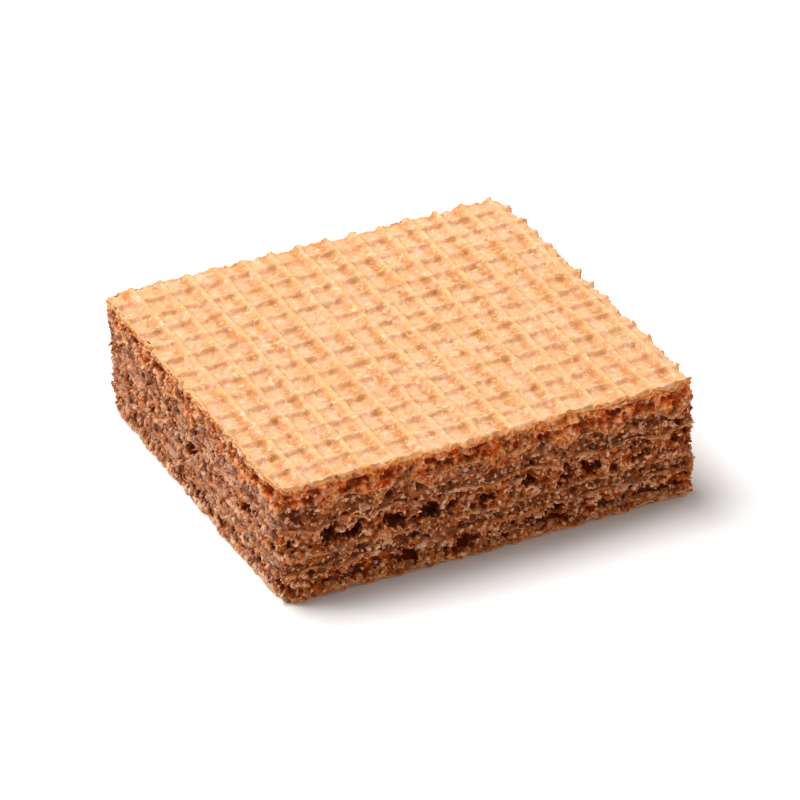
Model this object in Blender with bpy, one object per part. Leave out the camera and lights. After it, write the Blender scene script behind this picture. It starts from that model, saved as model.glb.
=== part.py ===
"""Cocoa wafer square: three baked wafer sheets with two layers of cocoa cream between them.

The square lies flat on its lower grid face, centred on the origin, with Z up. Every layer runs right
through it, so its cut edge shows on all four sides. All lengths are in metres.
"""

import math

import bmesh
import bpy
from mathutils import Matrix, Vector, noise

# Outline of the square
SIDE = 0.045
CORNER = 0.0020  # radius worn on the upright corners
CORNER_FACETS = 3
COLUMNS = 30  # facets along one straight edge

# Heights above the underside
TOP_OF_BOTTOM_SHEET = 0.0034
TOP_OF_LOWER_CREAM = 0.0050
TOP_OF_MIDDLE_SHEET = 0.0080
TOP_OF_UPPER_CREAM = 0.0101
TOP_FACE = 0.0132
GAP = 0.0003  # between two layers

# The grid that the baking plates press into the two outer faces
CELL = (0.0031, 0.0032)  # from rib to rib, along X and along Y
POCKETS = 15  # in a row, of which the outermost are cut open by the edge
MOUTH = 0.0027  # width of a pocket at the face
FLOOR = 0.0020  # width of a pocket at its floor
POCKET_DEPTH = 0.00065
CLEARANCE = 0.0003  # how far a pocket's cutter stands out of the face
TOP_GRID_PLACE = (0.0008, 0.0021)  # centre of a pocket near the middle of the face
UNDER_GRID_PLACE = (0.0008, 0.0017)  # puts a rib close to the front and left edges of the underside

# The arches that the coarse inner ribs of the plates leave between sheet and cream. Each kind is the rise
# from foot to crown, and how far the row of arches is shifted along the edge, in radians of its curve.
ARCHES = 28  # round the whole outline, each two grid cells wide
ARCH_MEAN = 2 / math.pi  # mean of |cos|, so that a boundary keeps its height
FIRST_CROWN = -0.0024  # along the front side, from its middle
UNDER_TOP_SHEET = (0.0016, 0.0)
ON_MIDDLE_SHEET = (0.0009, 0.5)
ON_BOTTOM_SHEET = (0.0008, -0.6)
STRAIGHT = (0.0, 0.0)
DRIFT = 0.8  # how far an arch strays sideways, in radians of its curve
DRIFT_SIZE = 0.012  # distance over which the straying changes
FADE = 0.0014  # the arches flatten out this far behind the cut edge
MERGED = 6  # this many columns share one point behind the arches

# The cut edge
ROUGHNESS = 0.00035  # how far crumbs stand out of the cut edge, or are missing from it
CRUMB_SIZE = 0.0015
SET_BACK = 0.00015  # the soft inside of a sheet lies this far behind its baked skin
BUBBLE_DEPTH = 0.0018  # of a bubble that the cut has opened
BUBBLE_CHANGE = 0.004  # distance over which the bubbles get larger or smaller


def clear_scene():
    for thing in list(bpy.data.objects):
        bpy.data.objects.remove(thing)


def material(name, colour, roughness):
    """A matt food surface; colour is linear RGB."""
    made = bpy.data.materials.new(name)
    made.use_nodes = True
    shader = made.node_tree.nodes["Principled BSDF"]
    shader.inputs["Base Color"].default_value = (*colour, 1.0)
    shader.inputs["Roughness"].default_value = roughness
    shader.inputs["Metallic"].default_value = 0.0
    return made


def outline(bm):
    """The worn square as one face, and a layer that holds pi for each arch before a vertex."""
    bmesh.ops.create_grid(bm, x_segments=1, y_segments=1, size=SIDE / 2)
    bmesh.ops.bevel(
        bm,
        geom=bm.verts[:],
        affect="VERTICES",
        offset=CORNER,
        segments=CORNER_FACETS,
        profile=0.5,
        material=-1,
    )
    straight = [edge for edge in bm.edges if edge.calc_length() > SIDE / 2]
    bmesh.ops.subdivide_edges(bm, edges=straight, cuts=COLUMNS - 1)
    bm.faces.ensure_lookup_table()
    face = bm.faces[0]
    phase = bm.verts.layers.float.new("phase")
    perimeter = sum(edge.calc_length() for edge in face.edges)
    middle_of_front = Vector((0.0, -SIDE / 2, 0.0))
    loop = min(face.loops, key=lambda corner: (corner.vert.co - middle_of_front).length)
    walked = loop.vert.co.x - FIRST_CROWN
    for _ in face.verts:
        loop.vert[phase] = math.pi * ARCHES * walked / perimeter
        walked += loop.edge.calc_length()
        loop = loop.link_loop_next
    return face, phase


def from_core(co):
    """Vector to this point from the nearest point of the square without its worn rim."""
    core = SIDE / 2 - CORNER
    nearest = Vector((max(-core, min(core, co.x)), max(-core, min(core, co.y))))
    return co.xy - nearest


def on_edge(vert):
    """Whether the vertex is on the outline and not on the ring where the arches have flattened out."""
    return from_core(vert.co).length > CORNER - FADE / 2


def arch(place, phase):
    """0 at the foot of an arch to 1 at its crown."""
    drift = DRIFT * noise.noise(Vector((place.x, place.y, 0.0)) / DRIFT_SIZE)
    return abs(math.cos(phase + drift))


def boundary(level, arches, place, phase):
    """Height of a layer's boundary at this point of the outline."""
    rise, shift = arches
    return level + rise * (arch(place, phase + shift) - ARCH_MEAN)


def crumbs(place, height):
    """How far the cut edge stands out of the outline here."""
    return ROUGHNESS * noise.noise(Vector((place.x, place.y, height)) / CRUMB_SIZE)


def bubble(place, phase, height):
    """0 to 1: how deep the opened bubbles are here. The deepest are in line with the arches' crowns."""
    size = 0.8 + 0.9 * noise.noise(Vector((place.y, place.x, height)) / BUBBLE_CHANGE)
    return arch(place, phase) ** 3 * max(0.0, min(1.0, size))


def merge_inner_ring(bm, ring):
    """Behind the arches a boundary is flat, so one point does for several columns."""
    targets = {}
    for index, vert in enumerate(ring):
        kept = ring[index - index % MERGED]
        if vert is not kept:
            targets[vert] = kept
    bmesh.ops.weld_verts(bm, targetmap=targets)


def layer(lower, upper, rows):
    """The bmesh of one layer.

    lower and upper are its two boundaries, each as its level and its kind of arches. rows lists the rings
    round its cut edge from the lowest up: each ring's share of the layer's height, how far it is set
    back, and how deep its bubbles are.
    """
    bm = bmesh.new()
    face, phase = outline(bm)
    bmesh.ops.inset_individual(bm, faces=[face], thickness=FADE, use_even_offset=True)
    merge_inner_ring(bm, list(face.verts))
    lid = bmesh.ops.extrude_face_region(bm, geom=bm.faces[:])["geom"]
    lid_verts = [item for item in lid if isinstance(item, bmesh.types.BMVert)]
    bmesh.ops.translate(bm, verts=lid_verts, vec=(0, 0, 1))
    uprights = [edge for edge in bm.edges if edge.verts[0].co.z != edge.verts[1].co.z]
    bmesh.ops.subdivide_edges(bm, edges=uprights, cuts=len(rows) - 2)
    _, shift = upper[1]
    for vert in bm.verts:
        if not on_edge(vert):
            vert.co.z = upper[0] if vert.co.z > 0.5 else lower[0]
            continue
        share, set_back, depth = rows[round(vert.co.z * (len(rows) - 1))]
        place = vert.co.copy()
        low = boundary(*lower, place, vert[phase])
        high = boundary(*upper, place, vert[phase])
        height = low + share * (high - low)
        opened = depth * bubble(place, vert[phase] + shift, height)
        inward = set_back + opened - crumbs(place, height)
        vert.co.xy = place.xy - inward * from_core(place).normalized()
        vert.co.z = height
    bmesh.ops.recalc_face_normals(bm, faces=bm.faces[:])
    return bm


def flatten_face(bm, level):
    """Joins the facets of a sheet's outer face into one."""
    flat = [face for face in bm.faces if all(abs(v.co.z - level) < GAP / 100 for v in face.verts)]
    bmesh.ops.dissolve_faces(bm, faces=flat, use_verts=False)


def add_object(name, bm, finish):
    mesh = bpy.data.meshes.new(name)
    bm.to_mesh(mesh)
    bm.free()
    mesh.materials.append(finish)
    made = bpy.data.objects.new(name, mesh)
    bpy.context.scene.collection.objects.link(made)
    return made


def pocket_cutters(name, level, up, grid_place):
    """One blunt pyramid for each pocket of a face at this level, which faces up (1) or down (-1)."""
    bm = bmesh.new()
    depth = POCKET_DEPTH + CLEARANCE
    wide = FLOOR + (MOUTH - FLOOR) * depth / POCKET_DEPTH
    first = -(POCKETS // 2)
    for column in range(first, first + POCKETS):
        for row in range(first, first + POCKETS):
            x = grid_place[0] + column * CELL[0]
            y = grid_place[1] + row * CELL[1]
            z = level + up * (CLEARANCE - depth / 2)
            turn = Matrix.Rotation(math.pi / 4, 4, "Z")
            flip = Matrix.Rotation(0 if up > 0 else math.pi, 4, "X")
            bmesh.ops.create_cone(
                bm,
                cap_ends=True,
                segments=4,
                radius1=FLOOR / math.sqrt(2),
                radius2=wide / math.sqrt(2),
                depth=depth,
                matrix=Matrix.Translation((x, y, z)) @ flip @ turn,
            )
    cutters = add_object(name, bm, bpy.data.materials["baked_wafer"])
    cutters.hide_render = True
    cutters.display_type = "WIRE"
    return cutters


def press_grid(sheet, cutters):
    cut = sheet.modifiers.new("pockets", "BOOLEAN")
    cut.operation = "DIFFERENCE"
    cut.solver = "EXACT"
    cut.object = cutters


def bottom_sheet(finish):
    rows = [
        (0.0, 0.0, 0.0),
        (0.22, 0.0, 0.0),
        (0.62, SET_BACK, BUBBLE_DEPTH),
        (0.88, SET_BACK, 0.0),
        (1.0, 0.0, 0.0),
    ]
    bm = layer((0.0, STRAIGHT), (TOP_OF_BOTTOM_SHEET - GAP / 2, ON_BOTTOM_SHEET), rows)
    flatten_face(bm, 0.0)
    sheet = add_object("bottom_sheet", bm, finish)
    press_grid(sheet, pocket_cutters("underside_pockets", 0.0, -1, UNDER_GRID_PLACE))


def lower_cream(finish):
    rows = [
        (0.0, 0.0, 0.0),
        (0.5, -SET_BACK, 0.0),
        (1.0, 0.0, 0.0),
    ]
    lower = (TOP_OF_BOTTOM_SHEET + GAP / 2, ON_BOTTOM_SHEET)
    upper = (TOP_OF_LOWER_CREAM - GAP / 2, STRAIGHT)
    add_object("lower_cream", layer(lower, upper, rows), finish)


def middle_sheet(finish):
    rows = [
        (0.0, 0.0, 0.0),
        (0.25, SET_BACK, 0.0),
        (0.6, SET_BACK, BUBBLE_DEPTH),
        (1.0, 0.0, 0.0),
    ]
    lower = (TOP_OF_LOWER_CREAM + GAP / 2, STRAIGHT)
    upper = (TOP_OF_MIDDLE_SHEET - GAP / 2, ON_MIDDLE_SHEET)
    add_object("middle_sheet", layer(lower, upper, rows), finish)


def upper_cream(finish):
    rows = [
        (0.0, 0.0, 0.0),
        (0.5, -SET_BACK, 0.0),
        (1.0, 0.0, 0.0),
    ]
    lower = (TOP_OF_MIDDLE_SHEET + GAP / 2, ON_MIDDLE_SHEET)
    upper = (TOP_OF_UPPER_CREAM - GAP / 2, UNDER_TOP_SHEET)
    add_object("upper_cream", layer(lower, upper, rows), finish)


def top_sheet(finish):
    rows = [
        (0.0, 0.0, 0.0),
        (0.2, SET_BACK, 0.0),
        (0.55, SET_BACK, BUBBLE_DEPTH),
        (0.84, 0.0, 0.0),
        (1.0, 0.0, 0.0),
    ]
    bm = layer((TOP_OF_UPPER_CREAM + GAP / 2, UNDER_TOP_SHEET), (TOP_FACE, STRAIGHT), rows)
    flatten_face(bm, TOP_FACE)
    sheet = add_object("top_sheet", bm, finish)
    press_grid(sheet, pocket_cutters("top_pockets", TOP_FACE, 1, TOP_GRID_PLACE))


def main():
    clear_scene()
    baked = material("baked_wafer", (0.50, 0.22, 0.09), 0.85)
    cream = material("cocoa_cream", (0.16, 0.085, 0.05), 0.7)
    bottom_sheet(baked)
    lower_cream(cream)
    middle_sheet(baked)
    upper_cream(cream)
    top_sheet(baked)


main()
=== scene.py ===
# %% [markdown]
# # A cocoa cream wafer
#
# Three crisp wafer sheets with two layers of cocoa cream, sawn into a square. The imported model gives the
# layers at their real size. This lesson makes the pieces that are seen in their place: two pressed crusts,
# the porous inside of the sheets, the cream between them, and the crumbs that the saw left on the cut.

# %% Load the frame
import math

import bmesh
import bpy
import numpy as np
from mathutils import Matrix, Vector, noise


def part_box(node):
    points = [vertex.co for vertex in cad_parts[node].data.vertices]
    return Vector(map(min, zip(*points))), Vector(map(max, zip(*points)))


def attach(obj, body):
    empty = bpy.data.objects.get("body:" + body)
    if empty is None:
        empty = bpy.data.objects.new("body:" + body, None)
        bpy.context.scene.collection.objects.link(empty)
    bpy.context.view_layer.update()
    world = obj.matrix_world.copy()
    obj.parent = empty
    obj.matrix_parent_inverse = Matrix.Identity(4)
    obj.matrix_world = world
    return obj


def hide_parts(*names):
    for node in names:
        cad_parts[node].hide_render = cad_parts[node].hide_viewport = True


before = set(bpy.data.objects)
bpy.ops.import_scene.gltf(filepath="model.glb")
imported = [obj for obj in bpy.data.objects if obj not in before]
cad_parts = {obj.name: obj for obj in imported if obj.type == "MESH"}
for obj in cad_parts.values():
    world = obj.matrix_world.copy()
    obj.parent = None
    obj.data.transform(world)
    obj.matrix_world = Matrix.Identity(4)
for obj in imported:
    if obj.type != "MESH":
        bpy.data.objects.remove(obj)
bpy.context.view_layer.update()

print("nodes:", sorted(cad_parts))

# %% [markdown]
# ## Sizes
#
# Everything is in metres, as in the imported model, but a biscuit is easier to think of in millimetres. The
# levels are where one layer ends and the next begins. They are read from the model where it has a flat
# face, and repeated where its edge is arched.

# %% Sizes of the wafer
MM = 0.001
SIDE = 45 * MM
CORNER = 1.4 * MM  # radius worn on the upright corners
CORE = SIDE / 2 - CORNER  # half the side of the square between the worn corners
CELL = (3.1 * MM, 3.2 * MM)  # the pressed grid, from rib to rib, along X and along Y
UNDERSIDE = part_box("bottom_sheet")[0].z
TOP_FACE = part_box("top_sheet")[1].z
BOTTOM_SHEET_TOP = 3.4 * MM
LOWER_CREAM_TOP = 4.8 * MM
MIDDLE_SHEET_TOP = 8.0 * MM
UPPER_CREAM_TOP = 10.1 * MM
OUT = 0.32 * MM  # nothing may stand further out of the square than this
PERIMETER = 4 * (SIDE - 2 * CORNER) + 2 * math.pi * CORNER
print(f"face at {TOP_FACE / MM:.1f} mm, cut edge {PERIMETER / MM:.0f} mm long")

# %% [markdown]
# ## Chance, the same each time
#
# A baked edge has no two places alike. Blender's own `noise` works on one point at a time, which is slow
# for a hundred thousand of them, so `lumps` does the same sum for a whole list: random slopes on the
# corners of a lattice, blended smoothly in between. The seed makes it repeat exactly.


# %% Lumps at any scale
def shuffled(order, corners):
    """A chance number from 0 to 255 for each corner of the lattice, always the same for that corner."""
    x, y, z = (corners & 255).T
    return order[(order[(order[x] + y) & 255] + z) & 255]


def lumps(points, size, seed):
    """Smooth chance from about -1 to 1 at each point, with lumps about `size` apart."""
    rng = np.random.default_rng(seed)
    order = rng.permutation(256)
    slopes = rng.normal(size=(256, 3))
    slopes /= np.linalg.norm(slopes, axis=1)[:, None]
    scaled = points / size + rng.uniform(0, 100, 3)
    cell = np.floor(scaled).astype(int)
    inside = scaled - cell
    blend = inside**3 * (inside * (inside * 6 - 15) + 10)
    total = np.zeros(len(points))
    for corner in np.ndindex(2, 2, 2):
        lean = ((inside - corner) * slopes[shuffled(order, cell + corner)]).sum(axis=1)
        weight = np.where(corner, blend, 1 - blend).prod(axis=1)
        total += weight * lean
    return 1.6 * total


def flat_points(x, y, level=0.0):
    """The places x, y as points that all lie at one level."""
    return np.column_stack((x, y, np.full(len(x), level)))


def smooth_step(low, high, value):
    """0 below `low`, 1 above `high`, an S curve between. It runs backwards where low is above high."""
    share = np.clip((value - low) / (high - low), 0, 1)
    return share * share * (3 - 2 * share)


print("lumps of 1 mm at the middle:", lumps(np.zeros((1, 3)), MM, 1))

# %% [markdown]
# ## The arches in the cut
#
# The baking plates have a fine grid on one side and coarse ribs on the other. Sawn across, the coarse side
# shows as a row of arches, two grid cells wide, with cream pressed up into them. The rule is the packed
# model's own: the height follows |cos| along the edge, and a slow drift keeps the row from looking ruled.

# %% Arches along the cut edge
ARCHES = 28
ARCH_MEAN = 2 / math.pi
FIRST_CROWN = -2.4 * MM  # along the front side, from its middle
DRIFT = 0.8
DRIFT_SIZE = 12 * MM
UNDER_TOP_SHEET = (1.6 * MM, 0.0)  # rise of the arches, and their shift along the edge in radians
ON_MIDDLE_SHEET = (0.9 * MM, 0.5)
ON_BOTTOM_SHEET = (0.8 * MM, -0.6)


def drifts(x, y, along):
    """How far the arches have drifted at each point of the edge, in radians."""
    _, first, back = np.unique(along, return_index=True, return_inverse=True)
    places = zip(x[first] / DRIFT_SIZE, y[first] / DRIFT_SIZE)
    return DRIFT * np.array([noise.noise(Vector((a, b, 0))) for a, b in places])[back]


def arch(edge, shift):
    """0 at the foot of an arch to 1 at its crown."""
    return np.abs(np.cos(math.pi * ARCHES * edge.along / PERIMETER + edge.drift + shift))


def uneven(edge, level):
    """A little waviness, the same for the layers above and below a boundary."""
    flat = flat_points(edge.x, edge.y, level)
    return MM * (0.20 * lumps(flat, 4 * MM, 11) + 0.10 * lumps(flat, 1.2 * MM, 12))


def arched(level, arches):
    rise, shift = arches
    return lambda edge: level + rise * (arch(edge, shift) - ARCH_MEAN) + uneven(edge, level)


def straight(level):
    return lambda edge: level + uneven(edge, level)


print(f"{ARCHES} arches, {PERIMETER / ARCHES / MM:.2f} mm from crown to crown")

# %% [markdown]
# ## Sides that aren't quite straight
#
# The saw leaves each side a little bowed and wavy. Every layer and crust is pushed out by the same rule, so
# that they stay flush.


# %% Bow of the sides
def bow(x, y):
    """How far the outline stands out at each point, most in the middle of a side."""
    from_middle = np.minimum(np.abs(x), np.abs(y)) / (SIDE / 2)
    return MM * (0.10 - 0.25 * from_middle**2 + 0.10 * lumps(flat_points(x, y), 9 * MM, 14))


print("bow at the middle of the front:", bow(np.zeros(1), np.full(1, -SIDE / 2)))

# %% [markdown]
# ## The cut edge as arrays
#
# A cut edge has far too many points to move one by one. Their places go into arrays instead, with each
# point's way round the edge and its way out, so that one line of numpy carves all of them.

# %% Points of a cut edge
EDGE_STEP = 0.10 * MM
BAND = 1.3 * MM  # behind the cut edge the hidden faces are flat


def outward(points):
    """The way to each point from the square's core, and its length, which is CORNER on the outline."""
    spoke = points[:, :2] - np.clip(points[:, :2], -CORE, CORE)
    return spoke, np.linalg.norm(spoke, axis=1)


class Edge:
    """The points of a cut edge: where each is on the outline, and which way is out.

    `carve` adds the layer's boundaries there, low and high, and the height of each point between them.
    """

    def __init__(self, points, along):
        spoke, reach = outward(points)
        self.on_cut = reach > CORNER - BAND / 2
        self.out = spoke[self.on_cut] / reach[self.on_cut][:, None]
        self.x, self.y, self.share = points[self.on_cut].T
        self.along = along[self.on_cut]
        self.drift = drifts(self.x, self.y, self.along)
        self.at_corner = 1 - np.abs(self.out).max(axis=1)

    def points(self):
        return np.column_stack((self.x, self.y, self.height))


print(f"{PERIMETER / EDGE_STEP:.0f} points round the edge in each row")

# %% [markdown]
# ## A blank to carve
#
# Each layer starts as a plain slab with worn corners, made with bmesh operators: a one-face grid, its
# corners bevelled, its sides subdivided, then inset and extruded up. The cut edge is divided about every
# tenth of a millimetre, so that bubbles can be carved by moving its points in. While it is a blank, a
# point's Z says only which row it is in, from 0 at the bottom to 1 at the top.


# %% A slab with worn corners
def outline(bm):
    """The square with worn corners as one face; the layer "along" holds each point's way round."""
    bmesh.ops.create_grid(bm, x_segments=1, y_segments=1, size=SIDE / 2)
    steps = round(math.pi / 2 * CORNER / EDGE_STEP)
    bmesh.ops.bevel(
        bm,
        geom=bm.verts[:],
        affect="VERTICES",
        offset=CORNER,
        segments=steps,
        profile=0.5,
        material=-1,
    )
    straights = [side for side in bm.edges if side.calc_length() > SIDE / 2]
    bmesh.ops.subdivide_edges(bm, edges=straights, cuts=round(SIDE / EDGE_STEP))
    bm.faces.ensure_lookup_table()
    face = bm.faces[0]
    along = bm.verts.layers.float.new("along")
    middle_of_front = Vector((0, -SIDE / 2, 0))
    loop = min(face.loops, key=lambda corner: (corner.vert.co - middle_of_front).length)
    walked = loop.vert.co.x - FIRST_CROWN
    for _ in face.verts:
        loop.vert[along] = walked
        walked += loop.edge.calc_length()
        loop = loop.link_loop_next
    return face


def new_points(made):
    """The points among what an operator made."""
    return [item for item in made["geom"] if isinstance(item, bmesh.types.BMVert)]


def blank(rows):
    """A closed slab of height 1 whose cut edge has this many rows of faces.

    bmesh makes its points in a new order at each run, so they are sorted by row and way round. Then a
    seeded draw among them picks the same ones every time.
    """
    bm = bmesh.new()
    face = outline(bm)
    bmesh.ops.inset_individual(bm, faces=[face], thickness=BAND, use_even_offset=True)
    lid = new_points(bmesh.ops.extrude_face_region(bm, geom=bm.faces[:]))
    bmesh.ops.translate(bm, verts=lid, vec=(0, 0, 1))
    uprights = [side for side in bm.edges if side.verts[0].co.z != side.verts[1].co.z]
    bmesh.ops.subdivide_edges(bm, edges=uprights, cuts=rows - 1)
    bmesh.ops.recalc_face_normals(bm, faces=bm.faces[:])
    along = bm.verts.layers.float["along"]
    bm.verts.sort(key=lambda vert: vert[along] + 2 * PERIMETER * round(vert.co.z * rows))
    return bm

# %% [markdown]
# ## From blank to layer
#
# The rows are spread between the layer's lower and upper boundary, and a carver says how far each point
# lies behind the outline. It also hands over numbers, such as how deep a pit is. They become attributes
# that the finish reads, which ties colour to shape as a separate noise could not.


# %% Carving a layer
def read_points(mesh):
    flat = np.empty(len(mesh.vertices) * 3, np.float32)
    mesh.vertices.foreach_get("co", flat)
    return flat.reshape(-1, 3).astype(float)


def write_values(mesh, name, values):
    """A number for each point, which materials read by its name."""
    layer = mesh.attributes.new(name, "FLOAT", "POINT")
    layer.data.foreach_set("value", np.asarray(values, np.float32))


def new_piece(name, bm):
    mesh = bpy.data.meshes.new(name)
    bm.to_mesh(mesh)
    bm.free()
    mesh.shade_smooth()
    piece = bpy.data.objects.new(name, mesh)
    bpy.context.scene.collection.objects.link(piece)
    return piece


def carve(name, lower, upper, carver, rows, inside):
    """A layer from its lower to its upper boundary, with its cut edge shaped by `carver`.

    carver(edge) returns how far each point lies behind the outline, and the values for the material.
    inside holds the heights of the flat hidden faces.
    """
    piece = new_piece(name, blank(rows))
    mesh = piece.data
    points = read_points(mesh)
    along = np.empty(len(points), np.float32)
    mesh.attributes["along"].data.foreach_get("value", along)
    edge = Edge(points, along.astype(float))
    edge.low = lower(edge)
    edge.high = upper(edge)
    edge.height = edge.low + edge.share * (edge.high - edge.low)
    inward, values = carver(edge)
    inward = np.maximum(inward - bow(edge.x, edge.y), -OUT)
    hidden = ~edge.on_cut
    points[hidden, 2] = np.where(points[hidden, 2] > 0.5, inside[1], inside[0])
    points[edge.on_cut, 0] = edge.x - inward * edge.out[:, 0]
    points[edge.on_cut, 1] = edge.y - inward * edge.out[:, 1]
    points[edge.on_cut, 2] = edge.height
    mesh.vertices.foreach_set("co", points.astype(np.float32).ravel())
    for name_of_value, numbers in values.items():
        whole = np.zeros(len(points))
        whole[edge.on_cut] = numbers
        write_values(mesh, name_of_value, whole)
    mesh.attributes.remove(mesh.attributes["along"])
    mesh.update()
    print(f"{name}: {len(mesh.polygons)} faces, deepest {inward.max() / MM:.1f} mm")
    return piece


# %% [markdown]
# ## Bubbles
#
# Batter foams as it bakes, and the saw opens the bubbles. Each one is a ball with its middle near the cut:
# the points go in as far as the ball's wall. Taking the deepest of all the balls at each point leaves thin
# sharp walls in between, as in the real crumb, and is far quicker than Booleans.


# %% Bubbles opened by the saw
def round_the_edge(place, reach):
    """The place, and its twin past the seam where the edge closes on itself."""
    twins = [place]
    if place < reach:
        twins.append(place + PERIMETER)
    if place > PERIMETER - reach:
        twins.append(place - PERIMETER)
    return twins


def open_balls(edge, balls):
    """How far in each point goes if balls are cut open. A ball is its place along the edge, its height,
    its radius, how far its middle lies in, and how flat it is."""
    start = edge.along.min()
    around = edge.along - start
    order = np.argsort(around)
    along = around[order]
    where = edge.points()[order]
    height = edge.height[order] + 0.32 * MM * lumps(where, 0.6 * MM, 21)
    depth = np.zeros(len(order))
    for place, level, radius, middle, flatness in balls:
        for twin in round_the_edge((place - start) % PERIMETER, radius):
            first, last = np.searchsorted(along, (twin - radius, twin + radius))
            span = slice(first, last)
            across = (along[span] - twin) ** 2 + ((height[span] - level) * flatness) ** 2
            reach = middle + np.sqrt(np.maximum(radius**2 - across, 0))
            depth[span] = np.maximum(depth[span], np.where(across < radius**2, reach, 0))
    result = np.empty(len(order))
    result[order] = depth
    return result


def foam(low, high, count, seed, small=0.14 * MM, large=0.60 * MM):
    """Many slightly flat balls of chance sizes between two heights, most of them small."""
    rng = np.random.default_rng(seed)
    balls = []
    for _ in range(count):
        radius = small + (large - small) * rng.random() ** 3
        level = rng.uniform(low, high)
        balls.append((rng.uniform(0, PERIMETER), level, radius, rng.uniform(-0.6, 0.3) * radius, 1.15))
    return balls


radii = [ball[2] for ball in foam(0, MM, 1000, 1)]
print(f"bubbles of {min(radii) / MM:.2f} to {max(radii) / MM:.2f} mm radius")

# %% [markdown]
# ## Hollows
#
# The big hollows lie under the crowns of the arches, where the batter could not fill the plate. Each is a
# few larger balls run together. On the front and left sides they are where the photograph shows them, and
# on the other two a seeded chance spreads them in the same way.

# %% Hollows under the arches
FRONT, RIGHT, BACK, LEFT = range(4)


def place_on(side, from_left):
    """The place along the edge of a point this far from the left end of a side, seen from outside."""
    return side * PERIMETER / 4 + from_left - SIDE / 2 - FIRST_CROWN


def hollow(side, from_left, below, width, tall, rng):
    """A hollow of this size, this far below the top face, as a few balls run together, in millimetres."""
    radius = 0.62 * tall * MM
    across = max(0.6 * width * MM - radius, 0.2 * radius)
    level = TOP_FACE - (below + 0.2) * MM
    middle = place_on(side, from_left * MM)
    balls = []
    for step in np.linspace(-1, 1, 2 + round(2 * across / radius)):
        ball = radius * rng.uniform(0.65, 1.1)
        drop = level + 0.4 * radius * rng.uniform(-1, 1)
        balls.append((middle + across * step, drop, ball, rng.uniform(0.3, 1.0) * MM, 1.0))
    return balls


def hollows(known, below, tall, seed):
    """Hollows at known places of some sides, and chance ones on the right and back sides."""
    rng = np.random.default_rng(seed)
    balls = []
    for side, places in known.items():
        for place in places:
            balls += hollow(side, *place, rng)
    for side in (RIGHT, BACK):
        from_left = rng.uniform(1.5, 4.0)
        while from_left < SIDE / MM - 2:
            width = rng.uniform(0.8, 1.6) * rng.choice((1.0, 1.0, 2.2))
            height = rng.uniform(0.5, 1.0) * tall
            balls += hollow(side, from_left, below + rng.uniform(-0.4, 0.4), width, height, rng)
            from_left += width + rng.choice((rng.uniform(0.2, 1.2), rng.uniform(2.5, 8.0)))
    return balls


print("balls in a row of chance hollows:", len(hollows({}, 6.6, 1.2, 1)))

# %% [markdown]
# ## Pores and grains
#
# Between the bubbles the foam is full of small pores with thin walls, which are cells of chance sizes. The
# same cells turned inside out are the grains in which cream comes away.


# %% Pores of three sizes
def grains(points, size, seed):
    """1 at the middle of a grain to about 0 in the creases between grains, which are `size` apart."""
    rng = np.random.default_rng(seed)
    order = rng.permutation(256)
    middles = rng.random((256, 3))
    scaled = points / size + 50
    cell = np.floor(scaled).astype(int)
    nearest = np.full(len(points), 9.0)
    for step in np.ndindex(3, 3, 3):
        corner = cell + np.array(step) - 1
        away = corner + middles[shuffled(order, corner)] - scaled
        nearest = np.minimum(nearest, (away * away).sum(axis=1))
    return 1 - np.sqrt(nearest)


def pitted(where, strength):
    """How far in each point goes for the pores of baked foam, or for grains if strength is negative."""
    coarse = grains(where, 1.1 * MM, 60) - 0.5
    middling = grains(where, 0.62 * MM, 61) - 0.5
    fine = grains(where, 0.36 * MM, 62) - 0.5
    return strength * MM * (0.36 * coarse + 0.36 * middling + 0.22 * fine)


print("pore at the middle, in metres:", pitted(np.zeros((1, 3)), 1.0))

# %% [markdown]
# ## The pressed grid
#
# The plates bake a thin crust with a grid of pockets. The ribs along Y stand a little higher than those
# along X, both are worn low in places, and one wall of each rib is darker: partly browning, partly painted
# shade. The depth is a formula of the place, so that it serves both faces and the foam behind them can
# follow it.

# %% Ribs and pockets
RIB_CROWN = 0.10 * MM  # half the width of a rib's rounded crown
RIB_FOOT = 0.68 * MM  # half the width of a rib where its sides meet the floor
POCKET_DEPTH = 0.52 * MM
CROSS_RIB = 0.80  # height of a rib along X, as a share of the depth
TOP_GRID = ((0.8 * MM, 2.1 * MM), 100)  # centre of a pocket near the middle of the face, and a seed
UNDER_GRID = ((0.8 * MM, 1.7 * MM), 200)


def from_ribs(x, y, grid):
    """How far each point lies past the nearest rib along Y, and past the nearest one along X."""
    place, seed = grid
    points = flat_points(x, y)
    past = []
    for number, value in enumerate((x, y)):
        wander = 0.14 * lumps(points, 2.4 * MM, seed + number)
        wander += 0.11 * lumps(points, 0.8 * MM, seed + 2 + number)
        wander += 0.05 * lumps(points, 0.35 * MM, seed + 14 + number)
        past.append((value - place[number] + wander * MM) % CELL[number] - CELL[number] / 2)
    return past


def ribs(x, y, grid):
    """0 off the ribs to 1 on their crowns: the ribs along Y, then those along X."""
    _, seed = grid
    points = flat_points(x, y)
    near = []
    for number, past in enumerate(from_ribs(x, y, grid)):
        width = 1 + 0.25 * lumps(points, 1.3 * MM, seed + 4 + number)
        near.append(smooth_step(RIB_FOOT * width, RIB_CROWN, np.abs(past)))
    along, across = near
    low = smooth_step(-0.1, 0.7, lumps(points, 1.8 * MM, seed + 12))
    lower = smooth_step(0.1, 0.7, lumps(points, 2.0 * MM, seed + 16))
    return along * (1 - 0.30 * lower), across * (CROSS_RIB - 0.35 * low)


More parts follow.
